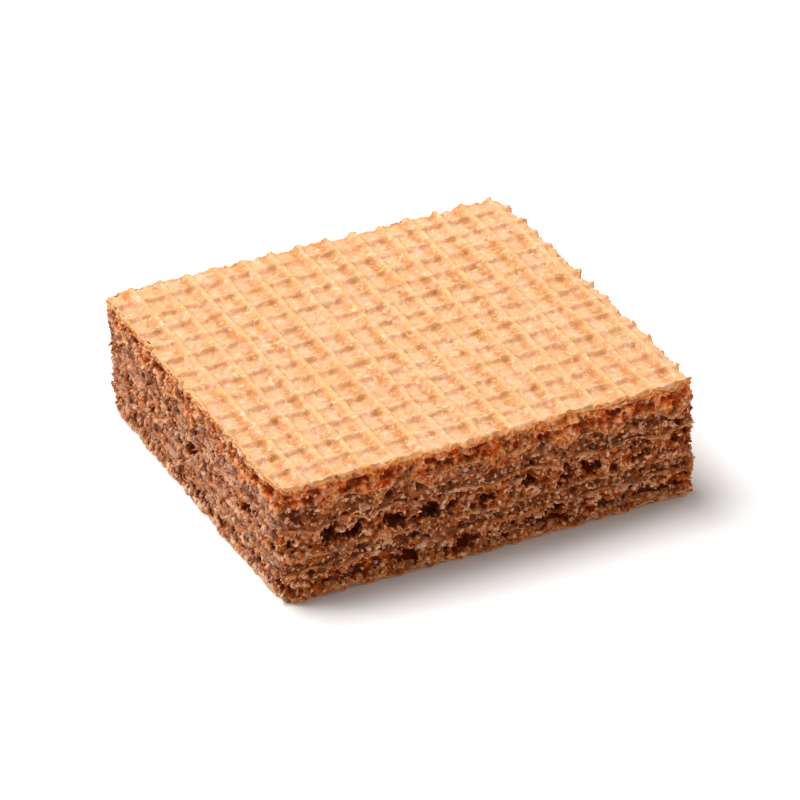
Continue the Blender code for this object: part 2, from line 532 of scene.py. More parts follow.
def browned_and_shaded(x, y, grid):
    """0 to 1: one wall of each rib, the one towards -X or towards -Y, partly browned and partly painted
    shade.
    """
    _, seed = grid
    past_x, past_y = from_ribs(x, y, grid)
    strength = np.clip(0.9 + 0.8 * lumps(flat_points(x, y), 5 * MM, seed + 17), 0.4, 1.2)
    on_y_ribs = strength * smooth_step(0.85 * MM, 0.1 * MM, np.abs(past_x + 0.80 * MM))
    on_x_ribs = 0.35 * smooth_step(0.65 * MM, 0.1 * MM, np.abs(past_y + 0.62 * MM))
    return 1 - (1 - on_y_ribs) * (1 - on_x_ribs)


def crust_top(x, y, grid):
    """How far the crust lies below the plane of its ribs."""
    _, seed = grid
    points = flat_points(x, y)
    along, across = ribs(x, y, grid)
    pocket = (1 - along) * (1 - across)
    worn_flat = smooth_step(0.1, 0.7, lumps(points, 8 * MM, seed + 13))
    uneven_depth = (1 + 0.22 * lumps(points, 2.8 * MM, seed + 6)) * (1 - 0.3 * worn_flat)
    sag = 0.10 * MM * (0.5 + 0.5 * lumps(points, 3.1 * MM, seed + 7))
    grain = 0.060 * lumps(points, 0.7 * MM, seed + 8) + 0.055 * lumps(points, 0.36 * MM, seed + 9)
    worn = 0.14 * smooth_step(0.2, 0.8, lumps(points, 1.5 * MM, seed + 10)) * (1 - pocket)
    pinholes = 0.12 * smooth_step(0.35, 0.7, lumps(points, 0.5 * MM, seed + 11))
    reach = np.hypot(x - np.clip(x, -CORE, CORE), y - np.clip(y, -CORE, CORE))
    rubbed = 0.08 * smooth_step(CORNER - 0.30 * MM, CORNER, reach) ** 2
    roughness = (grain + worn + pinholes + rubbed) * MM
    return np.maximum(POCKET_DEPTH * pocket * uneven_depth + sag + roughness, 0)


print(f"{SIDE / CELL[0]:.1f} by {SIDE / CELL[1]:.1f} pockets")

# %% [markdown]
# ## The crust
#
# It starts as one fine grid of faces, whose corners are squeezed into quarter discs. The rim is extruded
# down for the thickness of the crust, drawn in under it and closed, so that the shell has no gap. The saw
# left its edge ragged and chipped.

# %% Crust from a grid
CRUST_STEP = 0.16 * MM
CRUST = 0.26 * MM  # thickness
RIM_ROWS = 4
UNDER_CRUST = 1.25 * MM  # the hidden face that closes the crust lies this far below the ribs


def crust_blank():
    """A grid with its rim extruded down. While it is a blank, Z counts the rows of the rim."""
    bm = bmesh.new()
    count = round(SIDE / CRUST_STEP)
    bmesh.ops.create_grid(bm, x_segments=count, y_segments=count, size=SIDE / 2)
    for _ in range(RIM_ROWS + 1):
        rim = [side for side in bm.edges if side.is_boundary]
        down = new_points(bmesh.ops.extrude_edge_only(bm, edges=rim))
        bmesh.ops.translate(bm, verts=down, vec=(0, 0, -1))
    bmesh.ops.scale(bm, verts=down, vec=(1 - BAND / SIDE, 1 - BAND / SIDE, 1))
    bmesh.ops.edgeloop_fill(bm, edges=[side for side in bm.edges if side.is_boundary])
    bmesh.ops.recalc_face_normals(bm, faces=bm.faces[:])
    return bm


def round_corners(points):
    """Squeezes the grid's corners into quarter discs of the worn radius."""
    beyond = np.abs(points[:, :2]) - CORE
    corner = (beyond > 0).all(axis=1)
    square = beyond[corner]
    squeezed = square * (square.max(axis=1) / np.linalg.norm(square, axis=1))[:, None]
    points[corner, :2] = np.sign(points[corner, :2]) * (CORE + squeezed)


def crust_thickness(x, y, grid):
    """Uneven, because the foam behind it broke away in lumps."""
    _, seed = grid
    points = flat_points(x, y)
    change = 0.65 * lumps(points, 1.6 * MM, seed + 30) + 0.50 * lumps(points, 0.55 * MM, seed + 31)
    return CRUST * np.maximum(1 + change, 0.4)


def worn_rim(x, y, grid):
    """How far the edge of a crust stands out: ragged, chipped, set back where a pocket was sawn open."""
    _, seed = grid
    flat = flat_points(x, y)
    along, across = ribs(x, y, grid)
    ragged = 0.14 * lumps(flat, 1.7 * MM, seed + 20) + 0.16 * lumps(flat, 0.7 * MM, seed + 21)
    ragged += 0.16 * lumps(flat, 0.32 * MM, seed + 25)
    chipped = 0.5 * smooth_step(0.40, 0.75, lumps(flat, 2.0 * MM, seed + 22))
    chipped += 0.22 * smooth_step(0.15, 0.45, lumps(flat, 0.6 * MM, seed + 26))
    return MM * (ragged - chipped - 0.12 - 0.10 * (1 - along) * (1 - across))


def crust(name, level, up, grid):
    """A pressed crust whose ribs end at this level, facing up (1) or down (-1)."""
    piece = new_piece(name, crust_blank())
    mesh = piece.data
    points = read_points(mesh)
    round_corners(points)
    row = -points[:, 2]
    x, y = points[:, 0].copy(), points[:, 1].copy()
    spoke, reach = outward(points)
    out = spoke / np.maximum(reach, MM / 100)[:, None]
    near_rim = smooth_step(CORNER - 0.6 * MM, CORNER, reach)
    tucked = row > RIM_ROWS
    drop = crust_top(x, y, grid)
    height = np.where(tucked, UNDER_CRUST, drop + row / RIM_ROWS * crust_thickness(x, y, grid))
    points[:, 2] = level - up * height
    stands_out = near_rim * (worn_rim(x, y, grid) + bow(x, y))
    rim = (row > 0) & ~tucked
    stands_out[rim] -= np.maximum(pitted(points[rim], 1.0), 0.02 * MM) * row[rim] / RIM_ROWS
    points[:, :2] += out * np.where(tucked, 0, np.minimum(stands_out, OUT))[:, None]
    mesh.vertices.foreach_set("co", points.astype(np.float32).ravel())
    along, across = ribs(x, y, grid)
    write_values(mesh, "rib", np.maximum(along, 0.8 * across))
    write_values(mesh, "browned_and_shaded", browned_and_shaded(x, y, grid))
    write_values(mesh, "rim", np.clip(row / RIM_ROWS, 0, 1))
    write_values(mesh, "worn", smooth_step(CORNER - 0.7 * MM, CORNER, reach))
    if up < 0:
        mesh.flip_normals()
    mesh.update()
    print(f"{name}: {len(mesh.polygons)} faces")
    return piece


top_crust = crust("crust_above", TOP_FACE, 1, TOP_GRID)
under_crust = crust("crust_below", UNDERSIDE, -1, UNDER_GRID)

# %% [markdown]
# ## The cut
#
# The saw tears rather than slices. In the sheets it opens the pores and leaves their walls standing, and
# the cream comes away in grains. All the layers share one slow unevenness, since a layer that was torn by
# itself would look like a separate slice.


# %% Torn edges
def torn(edge):
    """The unevenness that all the layers share."""
    where = edge.points()
    return MM * (0.16 * lumps(where, 1.7 * MM, 63) + 0.12 * lumps(where, 0.9 * MM, 64))


def away_from(edge, from_low, from_high):
    """How far each point lies from the layer's lower boundary, its upper one, or the nearer of both."""
    away = np.full(len(edge.height), 9 * MM)
    if from_low:
        away = np.minimum(away, edge.height - edge.low)
    if from_high:
        away = np.minimum(away, edge.high - edge.height)
    return away


def near_cream(edge, low_skin, high_skin, reach):
    """1 at the boundary with the cream to 0 at this distance from it."""
    return smooth_step(reach, 0.2 * reach, away_from(edge, low_skin, high_skin))


# %% [markdown]
# ## The porous inside of the sheets
#
# Behind the crust a sheet is foam, a little set back, with its arched skin standing proud like the rim of
# a broken eggshell. The value "skin" marks that pale skin for the material. Just under a crust the foam
# has broken away deeper, which leaves the crust overhanging.

# %% Carving a sheet
SKIN = 0.26 * MM


def under_crust_of(level, up, grid):
    """The boundary where the foam meets a crust, a little inside it so that no gap shows."""

    def boundary(edge):
        thickness = crust_thickness(edge.x, edge.y, grid)
        return level - up * (crust_top(edge.x, edge.y, grid) + 0.6 * thickness)

    return boundary


def skin_of(edge, low_skin, high_skin):
    """0 to 1: how much of a point is the sheet's thin baked skin. The saw tore it away in places."""
    where = edge.points()
    thick = SKIN * (1 + 0.7 * lumps(where, 0.8 * MM, 7) + 0.7 * lumps(where, 0.4 * MM, 6))
    kept = smooth_step(-0.65, 0.05, lumps(where, 1.9 * MM, 8))
    kept *= smooth_step(-0.8, -0.2, lumps(where, 0.6 * MM, 9))
    return smooth_step(1.4 * thick, 0.6 * thick, away_from(edge, low_skin, high_skin)) * kept


def sheet_carver(low_skin, high_skin, bubbles, seed, grid=None):
    """A carver for the inside of a sheet. A side without a skin has a crust, whose rim the foam follows."""

    def carver(edge):
        where = edge.points()
        skin = skin_of(edge, low_skin, high_skin)
        from_crust = away_from(edge, not low_skin, not high_skin)
        opened = open_balls(edge, bubbles) * (1 - 0.85 * edge.at_corner)
        opened *= smooth_step(-0.75, -0.1, lumps(where, 0.55 * MM, seed + 6))
        pit = pitted(where, 1.0) + opened * (1 - 0.9 * skin) + 0.08 * MM * lumps(where, 0.26 * MM, seed + 2)
        pit = pit * (1 - 0.3 * skin)
        shallow = np.minimum(pit, 0.5 * MM + 0.6 * np.maximum(from_crust - UNDER_CRUST, 0))
        flush = smooth_step(0.7 * MM, 0.2 * MM, from_crust)
        shallow = np.maximum(shallow, -0.35 * MM * (1 - flush))
        undercut = smooth_step(0.3 * MM, 0.6 * MM, from_crust) * smooth_step(1.8 * MM, 1.0 * MM, from_crust)
        broken = smooth_step(-0.4, 0.3, lumps(where, 3.0 * MM, seed + 5))
        slow = 0.12 * lumps(where, 7 * MM, seed + 3)
        set_back = (0.20 + slow + 0.22 * undercut * broken) * MM + torn(edge)
        if grid:
            set_back += flush * (-worn_rim(edge.x, edge.y, grid) - set_back)
        inward = set_back + shallow - 0.16 * MM * skin
        values = {
            "skin": skin,
            "pit": pit / MM + 0.2 * undercut * broken,
            "near_crust": smooth_step(0.9 * MM, 0.25 * MM, from_crust),
            "near_cream": near_cream(edge, low_skin, high_skin, 0.9 * MM) * (1 - skin),
        }
        return inward, values

    return carver


# %% [markdown]
# ## Three sheets
#
# The hollows below are listed one by one. Each row says, in millimetres, how far one is from the left end
# of its side and below the top face, and how wide and tall it is. The top sheet has a crust above and a
# skin below, the middle one two skins, and the bottom one lies the other way up from the top one.

# %% The three sheets
TOP_HOLLOWS = {
    FRONT: (
        (8.6, 1.0, 1.8, 0.7), (11.4, 1.6, 1.2, 0.7), (16.2, 1.3, 1.3, 0.6), (20.2, 2.0, 1.1, 0.6),
        (28.0, 1.6, 1.0, 0.6), (36.0, 1.4, 1.3, 0.6),
    ),
    LEFT: (
        (8.8, 1.7, 2.0, 0.9), (14.3, 1.5, 2.0, 0.9), (20.7, 2.0, 1.9, 0.9), (35.1, 1.5, 2.0, 0.8),
        (41.9, 1.3, 1.7, 0.8),
    ),
}
MIDDLE_HOLLOWS = {
    FRONT: (
        (4.9, 6.1, 1.5, 1.0), (8.0, 6.7, 1.4, 1.1), (6.6, 6.7, 4.0, 0.5), (11.9, 6.5, 2.2, 1.3),
        (15.8, 6.4, 1.3, 1.4), (13.9, 6.9, 5.0, 0.5), (18.2, 6.6, 1.2, 0.6), (22.0, 6.7, 1.6, 0.7),
        (26.4, 6.2, 1.5, 0.9), (30.0, 6.8, 1.0, 0.6), (33.3, 6.6, 1.8, 0.8), (38.5, 6.9, 1.4, 0.5),
    ),
    LEFT: (
        (6.0, 7.4, 3.2, 1.3), (12.6, 7.3, 2.0, 1.1), (19.6, 7.0, 1.4, 0.9), (22.4, 6.8, 1.8, 1.1),
        (36.4, 6.4, 2.0, 1.1), (42.5, 7.5, 1.7, 0.9),
    ),
}
BOTTOM_HOLLOWS = {
    FRONT: (
        (6.2, 11.5, 3.6, 0.8), (13.2, 11.5, 2.1, 1.5), (19.2, 11.2, 1.6, 1.1), (22.5, 11.9, 2.6, 0.6),
        (27.3, 11.6, 1.8, 0.9), (29.3, 10.2, 1.2, 0.8), (34.7, 11.5, 1.6, 0.8), (38.6, 11.8, 2.6, 0.7),
    ),
    LEFT: (
        (23.0, 11.2, 1.7, 0.9), (29.0, 11.4, 1.6, 0.9), (38.2, 10.9, 1.8, 1.0), (43.3, 11.1, 2.0, 1.1),
    ),
}

bubbles = foam(10.6 * MM, 12.7 * MM, 1700, 41) + hollows(TOP_HOLLOWS, 1.5, 0.7, 31)
top_crumb = carve(
    "crumb_above",
    arched(UPPER_CREAM_TOP, UNDER_TOP_SHEET),
    under_crust_of(TOP_FACE, 1, TOP_GRID),
    sheet_carver(True, False, bubbles, 300, TOP_GRID),
    rows=30,
    inside=(UPPER_CREAM_TOP, TOP_FACE - UNDER_CRUST),
)
bubbles = foam(5.1 * MM, 7.8 * MM, 1800, 42) + hollows(MIDDLE_HOLLOWS, 6.6, 1.2, 32)
middle_crumb = carve(
    "crumb_between",
    straight(LOWER_CREAM_TOP),
    arched(MIDDLE_SHEET_TOP, ON_MIDDLE_SHEET),
    sheet_carver(True, True, bubbles, 310),
    rows=28,
    inside=(LOWER_CREAM_TOP, MIDDLE_SHEET_TOP),
)
bubbles = foam(0.7 * MM, 3.0 * MM, 1800, 43) + hollows(BOTTOM_HOLLOWS, 11.2, 1.1, 33)
bottom_crumb = carve(
    "crumb_below",
    under_crust_of(UNDERSIDE, -1, UNDER_GRID),
    arched(BOTTOM_SHEET_TOP, ON_BOTTOM_SHEET),
    sheet_carver(False, True, bubbles, 320, UNDER_GRID),
    rows=30,
    inside=(UNDERSIDE + UNDER_CRUST, BOTTOM_SHEET_TOP),
)

# %% [markdown]
# ## The cream
#
# Cocoa cream is fat, sugar and cocoa. The saw leaves it fairly smooth, drawn a little along the cut, with
# pinholes and torn places. Its layers reach a little way behind the skins above and below.

# %% Carving the cream
TUCK = 0.12 * MM
PINHOLES = (0.10 * MM, 0.5 * MM)  # least and greatest radius


def raised(boundary, by):
    return lambda edge: boundary(edge) + by


def cream_carver(bubbles, seed):
    """A carver for a layer of cream."""

    def carver(edge):
        where = edge.points()
        drawn = where / np.array((2.0, 2.0, 1.0))
        lost = smooth_step(0.15, 0.7, lumps(drawn, 0.9 * MM, seed + 4))
        opened = open_balls(edge, bubbles) * (1 - 0.85 * edge.at_corner)
        pit = pitted(where, -0.8) + 0.07 * MM * lumps(where, 0.26 * MM, seed + 2) + opened
        seam = near_cream(edge, True, True, 0.45 * MM)
        set_back = (0.24 + 0.12 * lumps(where, 7 * MM, seed + 3)) * MM
        inward = set_back + torn(edge) + pit + (0.25 * lost + 0.12 * seam) * MM
        values = {"pit": pit / MM + 0.2 * lost, "lost": lost, "seam": seam}
        return inward, values

    return carver


upper_cream = carve(
    "cream_above",
    raised(arched(MIDDLE_SHEET_TOP, ON_MIDDLE_SHEET), -TUCK),
    raised(arched(UPPER_CREAM_TOP, UNDER_TOP_SHEET), TUCK),
    cream_carver(foam(7.9 * MM, 10.6 * MM, 500, 51, *PINHOLES), 400),
    rows=22,
    inside=(MIDDLE_SHEET_TOP, UPPER_CREAM_TOP),
)
lower_cream = carve(
    "cream_below",
    raised(arched(BOTTOM_SHEET_TOP, ON_BOTTOM_SHEET), -TUCK),
    raised(straight(LOWER_CREAM_TOP), TUCK),
    cream_carver(foam(3.4 * MM, 5.1 * MM, 500, 52, *PINHOLES), 410),
    rows=18,
    inside=(BOTTOM_SHEET_TOP, LOWER_CREAM_TOP),
)

# %% [markdown]
# ## Loose crumbs
#
# Saw crumbs cling to the cut. Each is a ball of twenty faces, knocked out of shape and pressed a little
# into the surface. One ball is doubled again and again, since a thousand operators would be slow, and then
# each copy is turned, squashed and put in its place. A number for each gives it a brown of its own.

# %% Scattering crumbs on a cut
BALL_POINTS = 12  # of an icosphere of twenty faces
ON_CUT = (UNDERSIDE + 0.5 * MM, TOP_FACE - 1.0 * MM)
ON_RIM = (TOP_FACE - 0.45 * MM, TOP_FACE - 0.12 * MM)


def crumb_seats(pieces, heights, count, rng):
    """Chance points of the carved edges between two heights, with the way out of the wafer there."""
    places = np.concatenate([read_points(piece.data) for piece in pieces])
    spoke, reach = outward(places)
    level = (places[:, 2] > heights[0]) & (places[:, 2] < heights[1])
    shown = np.flatnonzero((reach > CORNER - 0.4 * MM) & level)
    picked = rng.choice(shown, count, replace=False)
    return places[picked], spoke[picked] / reach[picked][:, None]


def chance_turns(count, rng):
    """Rotation matrices that leave no way up preferred."""
    turns, _ = np.linalg.qr(rng.normal(size=(count, 3, 3)))
    turns[:, :, 0] *= np.linalg.det(turns)[:, None]
    return turns


def crumbs(name, pieces, seed, large=0.34 * MM, small=0.07 * MM, doublings=11, heights=ON_CUT, palest=0.0):
    """Many small broken grains on the cut edge, joined into one object."""
    rng = np.random.default_rng(seed)
    bm = bmesh.new()
    bmesh.ops.create_icosphere(bm, subdivisions=1, radius=1.0)
    for _ in range(doublings):
        bmesh.ops.duplicate(bm, geom=bm.verts[:] + bm.edges[:] + bm.faces[:])
    count = 2**doublings
    piece = new_piece(name, bm)
    mesh = piece.data
    balls = read_points(mesh).reshape(count, BALL_POINTS, 3)
    balls += rng.normal(scale=0.22, size=balls.shape)
    balls *= rng.uniform(0.3, 1.4, (count, 1, 3))
    balls = balls @ chance_turns(count, rng)
    radius = small + (large - small) * rng.random(count) ** 3
    seats, outs = crumb_seats(pieces, heights, count, rng)
    seats[:, :2] += outs * (radius * rng.uniform(-0.2, 0.5, count))[:, None]
    points = (balls * radius[:, None, None] + seats[:, None, :]).reshape(-1, 3)
    limit = SIDE / 2 + OUT
    points[:, :2] = np.clip(points[:, :2], -limit, limit)
    points[:, 2] = np.clip(points[:, 2], UNDERSIDE + 0.05 * MM, TOP_FACE - 0.05 * MM)
    mesh.vertices.foreach_set("co", points.astype(np.float32).ravel())
    write_values(mesh, "tint", np.repeat(rng.uniform(palest, 1, count), BALL_POINTS))
    mesh.update()
    print(f"{name}: {count} crumbs, {len(mesh.polygons)} faces")
    return piece


top_crumbs = crumbs("crumbs_above", [top_crumb], 71)
middle_crumbs = crumbs("crumbs_between", [middle_crumb], 72)
bottom_crumbs = crumbs("crumbs_below", [bottom_crumb], 73)
cream_crumbs = crumbs("crumbs_on_cream", [upper_cream, lower_cream], 74, 0.32 * MM)
rim_crumbs = crumbs("crumbs_on_rim", [top_crust], 75, 0.12 * MM, 0.05 * MM, 10, ON_RIM, 0.6)

# %% [markdown]
# ## Finishes
#
# All of the surfaces are dry and matt, so what tells them apart is colour and grain. Each finish mixes a
# few browns by noise, reads the values carved above, and ends in a fine bump. Noise on Object coordinates
# runs on from one piece to the next, and needs no picture and no unwrapping.


# %% Helpers for finishes
def brown(red, green, blue):
    """A colour given as 0 to 255 on screen, turned into the linear numbers that a shader takes."""
    shares = np.array((red, green, blue)) / 255
    linear = np.where(shares <= 0.04045, shares / 12.92, ((shares + 0.055) / 1.055) ** 2.4)
    return (*(float(value) for value in linear), 1.0)


class Finish:
    """A material under construction."""

    def __init__(self, name, roughness, specular):
        self.material = bpy.data.materials.new(name)
        self.material.use_nodes = True
        self.tree = self.material.node_tree
        self.shader = self.tree.nodes["Principled BSDF"]
        self.put(self.shader, {"Roughness": roughness, "Specular IOR Level": specular})
        self.place = self.add("TexCoord", "Object", {})

    def put(self, node, inputs):
        """Fills a node's inputs: another node's output is linked, a number or colour is set."""
        for name, value in inputs.items():
            if isinstance(value, bpy.types.NodeSocket):
                self.tree.links.new(value, node.inputs[name])
            else:
                node.inputs[name].default_value = value

    def add(self, kind, output, inputs, **settings):
        """Adds a node of this kind, fills its inputs, and gives back one of its outputs."""
        node = self.tree.nodes.new("ShaderNode" + kind)
        for name, setting in settings.items():
            setattr(node, name, setting)
        self.put(node, inputs)
        return node.outputs[output]

    def value(self, name):
        """A number carved into the piece."""
        return self.add("Attribute", "Fac", {}, attribute_name=name)

    def axis(self, name):
        """The place along X, Y or Z, in metres."""
        return self.add("SeparateXYZ", name, {"Vector": self.place})

    def speckle(self, size, detail=3.0, roughness=0.6, flatten=1.0):
        """Noise with lumps of this size, about 0.3 to 0.7. Where flatten is below 1 they are long ones."""
        place = self.place
        if flatten < 1.0:
            place = self.add("Mapping", "Vector", {"Vector": place, "Scale": (flatten, flatten, 1.0)})
        inputs = {"Vector": place, "Scale": 1 / size, "Detail": detail, "Roughness": roughness}
        return self.add("TexNoise", "Fac", inputs)

    def cells(self, size):
        """Scattered grains of this size, each with a chance number of its own from 0 to 1."""
        colour = self.add("TexVoronoi", "Color", {"Vector": self.place, "Scale": 1 / size})
        return self.add("SeparateColor", "Red", {"Color": colour})

    def between(self, value, low, high, start=0.0, end=1.0):
        """The value, stretched so that low becomes start and high becomes end."""
        inputs = {"Value": value, "From Min": low, "From Max": high, "To Min": start, "To Max": end}
        return self.add("MapRange", "Result", inputs, interpolation_type="SMOOTHSTEP")

    def reckon(self, operation, first, second):
        return self.add("Math", "Value", {0: first, 1: second}, operation=operation)

    def mix(self, share, first, second):
        return self.add("Mix", "Result", {"Factor": share, "A": first, "B": second}, data_type="RGBA")

    def lay(self, under, share, strength, colour):
        """Lays a colour over what is there, by a 0 to 1 share and a strength."""
        return self.mix(self.reckon("MULTIPLY", share, strength), under, brown(*colour))

    def coats(self, under, *coats):
        """Lays colours one over the other. Each comes in as its value goes from one number to the next."""
        for value, low, high, strength, colour in coats:
            under = self.lay(under, self.between(value, low, high), strength, colour)
        return under

    def bump(self, size, distance, detail=3.0, roughness=0.6, below=None):
        """Fine grain of this size and height, over a coarser bump if there is one."""
        inputs = {"Height": self.speckle(size, detail, roughness), "Distance": distance}
        if below is not None:
            inputs["Normal"] = below
        return self.add("Bump", "Normal", inputs)

    def close(self, colour, normal):
        self.put(self.shader, {"Base Color": colour, "Normal": normal})
        print(f"{self.material.name}: {len(self.tree.nodes)} nodes")
        return self.material


# %% [markdown]
# ## Mottling and painted light
#
# A sawn side is never one tone: patches of it are darker. Every side but the front is also painted paler,
# as painted light, in drifts a few millimetres wide, on what stands out and not in the pits. The front
# stays in shade, so the painted light starts just behind it.

# %% Painted light on the cut
# Where the painted light begins along Y.
PALE_LIGHT_STARTS = (-21.9 * MM, -21.1 * MM)  # along Y; the front side lies before it


def mottled(finish, colour, pale_light, pale_light_strength, outside_pits=1.0):
    """The cut's unevenness in tone, and painted light that makes every side but the front paler."""
    colour = finish.coats(colour, (finish.speckle(1.3 * MM), 0.50, 0.64, 0.5, (80, 26, 3)))
    side = finish.between(finish.axis("Y"), *PALE_LIGHT_STARTS)
    # Painted light in drifts, kept out of the pits.
    drift = finish.between(finish.speckle(2.0 * MM), 0.42, 0.57, 0.1, 1.1)
    drift = finish.reckon("MULTIPLY", drift, outside_pits)
    return finish.lay(colour, finish.reckon("MULTIPLY", side, drift), pale_light_strength, pale_light)


# %% [markdown]
# ## Finish of the crust
#
# The crust is pinkish tan in its pockets, browner on their walls, partly as painted shade, and a little
# yellower on the ribs. The value "rib" finds the ribs wherever they wander, which a striped texture would
# miss. Its broken rim is redder, with dark pores and pale flakes, and darker towards the bottom as painted
# shade.


# %% Baked crust
def crust_rim(finish):
    """The colour of the broken edge, with painted shade that darkens it towards the bottom."""
    grain = finish.between(finish.speckle(0.5 * MM, 3.0, 0.65), 0.40, 0.60)
    number = finish.cells(0.34 * MM)
    colour = finish.coats(
        finish.mix(grain, brown(172, 86, 36), brown(240, 158, 92)),
        # Painted shade: darker towards the bottom.
        (finish.axis("Z"), 3 * MM, MM, 0.4, (124, 52, 14)),
        (number, 0.34, 0.15, 0.55, (104, 42, 12)),
        (number, 0.76, 0.88, 0.45, (244, 184, 134)),
    )
    return mottled(finish, colour, (250, 208, 158), 0.7)


def baked_crust():
    finish = Finish("baked_crust", 0.85, 0.15)
    on_ribs = finish.between(finish.value("rib"), 0.55, 0.95)
    grain = finish.between(finish.speckle(1.0 * MM, 4.0, 0.7), 0.42, 0.62)
    # The rib-wall value is partly browning and partly painted shade.
    baked = finish.reckon("ADD", finish.value("browned_and_shaded"), finish.reckon("MULTIPLY", grain, 0.6))
    colour = finish.coats(
        finish.mix(on_ribs, brown(224, 172, 130), brown(230, 178, 124)),
        (baked, 0.1, 1.5, 0.85, (184, 122, 62)),
        (finish.speckle(5 * MM, 3.0, 0.55), 0.35, 0.65, 0.32, (212, 150, 94)),
        (finish.speckle(1.2 * MM, 4.0, 0.7), 0.48, 0.60, 0.45, (232, 176, 150)),
        (finish.speckle(0.6 * MM, 3.0, 0.65), 0.56, 0.66, 0.55, (244, 212, 170)),
        (finish.value("worn"), 0.55, 1.0, 0.85, (244, 162, 94)),
    )
    on_rim = finish.reckon("MULTIPLY", finish.between(finish.value("rim"), 0.0, 0.25), 0.9)
    colour = finish.mix(on_rim, colour, crust_rim(finish))
    fine = finish.bump(0.14 * MM, 0.07 * MM)
    return finish.close(colour, finish.bump(0.5 * MM, 0.12 * MM, below=fine))


crust_finish = baked_crust()

# %% [markdown]
# ## Finish of the foam
#
# The foam is redder near the crust. Its browns follow the carved depth as painted light and shade: a
# painted highlight on the walls that stand out, painted shade in a pit and darker painted shade in a deep
# one. There are also pale flecks and dark pores at chance, and cream smeared over it along the skins. The
# sheets differ in their browns alone, so one function serves all three.

# %% Inside of the sheets
CREAM_DARK = (80, 30, 5)
CREAM_LIGHT = (165, 90, 47)


def torn_crumb(name, deep, dark, middle, light, skin, pale_light, flecks=0.65, glow=0.15):
    """The sawn inside of a sheet. The last two say how strong its flecks and its glow at the crust are."""
    finish = Finish(name, 0.9, 0.03)
    pit = finish.value("pit")
    near_crust = finish.value("near_crust")
    number = finish.cells(0.36 * MM)
    tone = finish.between(finish.speckle(0.9 * MM, flatten=0.7), 0.40, 0.60)
    smear = finish.between(finish.speckle(0.8 * MM, flatten=0.6), 0.46, 0.56)
    smear = finish.reckon("MULTIPLY", smear, finish.value("near_cream"))
    colour = finish.mix(tone, brown(*middle), brown(*light))
    colour = finish.lay(colour, near_crust, glow, (240, 138, 60))
    colour = finish.lay(colour, smear, 0.65, CREAM_LIGHT)
    colour = finish.coats(
        colour,
        (number, 0.76, 0.88, flecks, (248, 196, 156)),
        (number, 0.28, 0.12, 0.5, dark),
        # Painted highlight where the cut stands out, painted shade in pits, darker painted shade in deep
        # hollows.
        (pit, 0.0, -0.20, 0.6, (250, 202, 164)),
        (pit, 0.08, 0.45, 0.85, dark),
        (pit, 0.5, 1.4, 0.85, deep),
    )
    colour = finish.lay(colour, finish.value("skin"), 0.8, skin)
    more_at_crust = finish.between(near_crust, 0.0, 1.0, 1.0, 2.3)
    outside_pits = finish.reckon("MULTIPLY", finish.between(pit, 0.24, 0.0), more_at_crust)
    # Painted light on every side but the front.
    colour = mottled(finish, colour, pale_light, 0.5, outside_pits)
    return finish.close(colour, finish.bump(0.12 * MM, 0.06 * MM))


red_crumb = torn_crumb(
    "crumb_red",
    deep=(104, 20, 0),
    dark=(143, 42, 4),
    middle=(218, 90, 22),
    light=(246, 164, 94),
    skin=(214, 138, 82),
    pale_light=(240, 199, 148),
    flecks=0.4,
    glow=0.5,
)
brown_crumb = torn_crumb(
    "crumb_brown",
    deep=(70, 18, 1),
    dark=(74, 20, 0),
    middle=(146, 59, 13),
    light=(197, 106, 50),
    skin=(214, 140, 88),
    pale_light=(228, 182, 150),
)
dark_crumb = torn_crumb(
    "crumb_dark",
    deep=(68, 17, 1),
    dark=(66, 16, 0),
    middle=(136, 51, 8),
    light=(187, 94, 38),
    skin=(198, 116, 62),
    pale_light=(230, 186, 152),
)

# %% [markdown]
# ## Finish of the cream
#
# Cream is greyer than the foam and a little less matt. Pale wafer flakes are pressed into it along its
# seams, which the value "seam" marks, and it is darker where a piece of it was lost.


# %% Cocoa cream
def cocoa_cream():
    finish = Finish("cocoa_cream", 0.8, 0.08)
    pit = finish.value("pit")
    number = finish.cells(0.34 * MM)
    tone = finish.between(finish.speckle(0.9 * MM, flatten=0.5), 0.40, 0.60)
    flake = finish.between(finish.speckle(0.7 * MM), 0.50, 0.58)
    flake = finish.reckon("MULTIPLY", flake, finish.value("seam"))
    colour = finish.mix(tone, brown(114, 49, 13), brown(*CREAM_LIGHT))
    colour = finish.lay(colour, finish.value("lost"), 0.5, CREAM_DARK)
    colour = finish.lay(colour, flake, 0.7, (204, 132, 84))
    colour = finish.coats(
        colour,
        (number, 0.76, 0.88, 0.65, (242, 188, 150)),
        (number, 0.30, 0.15, 0.55, (70, 28, 8)),
        # Painted highlight where the cut stands out, and painted shade in its pits.
        (pit, -0.02, -0.22, 0.45, (232, 174, 134)),
        (pit, 0.08, 0.45, 0.8, (56, 20, 3)),
    )
    colour = mottled(finish, colour, (212, 163, 136), 0.62, finish.between(pit, 0.24, 0.0))
    return finish.close(colour, finish.bump(0.13 * MM, 0.05 * MM))


cream_finish = cocoa_cream()

# %% [markdown]
# ## Finish of the loose crumbs
#
# The crumbs come from every layer, so each takes its brown from its own number: most are mid browns, and
# those with the highest numbers are nearly as pale as the crust.


# %% Crumbs in many browns
def loose_crumb():
    finish = Finish("loose_crumb", 0.85, 0.2)
    tint = finish.value("tint")
    colour = finish.coats(
        finish.mix(finish.between(tint, 0.0, 0.6), brown(148, 75, 32), brown(212, 138, 86)),
        (tint, 0.7, 0.95, 0.85, (246, 202, 162)),
        (finish.speckle(0.15 * MM, 2.0, 0.55), 0.35, 0.65, 0.3, (150, 84, 50)),
    )
    colour = mottled(finish, colour, (206, 158, 134), 0.2)
    return finish.close(colour, finish.bump(0.09 * MM, 0.04 * MM, 2.0))


crumb_finish = loose_crumb()
